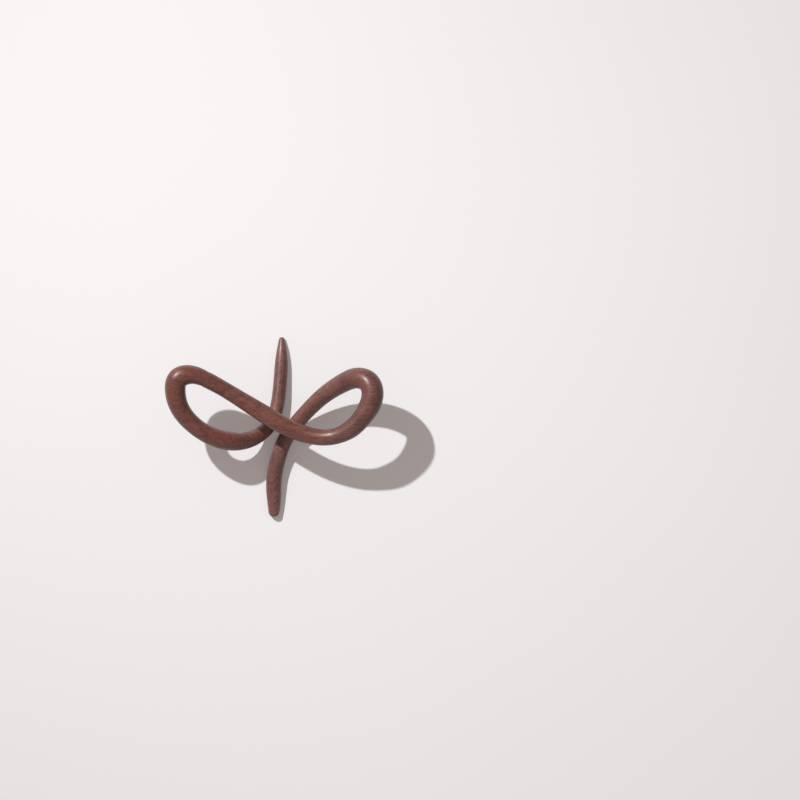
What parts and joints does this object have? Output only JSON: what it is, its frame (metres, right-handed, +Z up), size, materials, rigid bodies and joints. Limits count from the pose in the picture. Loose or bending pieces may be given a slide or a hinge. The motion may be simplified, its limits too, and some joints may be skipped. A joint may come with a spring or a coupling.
{
  "type": "wall hook",
  "caption": "Sculptural wooden wall hook: a tapering round rod bent into a bow, its loops standing out from the wall and its tails lying flat on it.",
  "frame": {"origin": "on the wall's face, midway between the two wall fixings behind the tails", "axes": "+X to the right along the bow, +Z up, +Y into the wall: the hook stands out from the wall along -Y"},
  "size_m": [0.2174, 0.1047, 0.1864],
  "materials": {
    "wood_lower_tail": "satin reddish-brown stain",
    "wood_right_bow_end": "satin reddish-brown stain",
    "wood_front_strand": "satin reddish-brown stain",
    "wood_left_bow_end": "satin reddish-brown stain",
    "wood_lower_strand": "satin reddish-brown stain",
    "wood_upper_tail": "satin reddish-brown stain",
    "dowel_beech": "plain beech",
    "plate_steel": "zinc-plated steel",
    "plate_screw_brass": "brass-plated",
    "wall_screw_steel": "zinc-plated steel",
    "plug_nylon": "grey nylon"
  },
  "bodies": {
    "root": {"lower_tail": "wood_lower_tail", "right_bow_end": "wood_right_bow_end", "front_strand": "wood_front_strand", "left_bow_end": "wood_left_bow_end", "lower_strand": "wood_lower_strand", "upper_tail": "wood_upper_tail", "dowel_right_upper": "dowel_beech", "dowel_right_lower": "dowel_beech", "dowel_left_upper": "dowel_beech", "dowel_left_lower": "dowel_beech", "dowel_neck": "dowel_beech", "keyhole_plate_lower": "plate_steel", "plate_screws_lower": "plate_screw_brass", "wall_screw_lower": "wall_screw_steel", "wall_plug_lower": "plug_nylon", "keyhole_plate_upper": "plate_steel", "plate_screws_upper": "plate_screw_brass", "wall_screw_upper": "wall_screw_steel", "wall_plug_upper": "plug_nylon"}
  },
  "joints": []
}
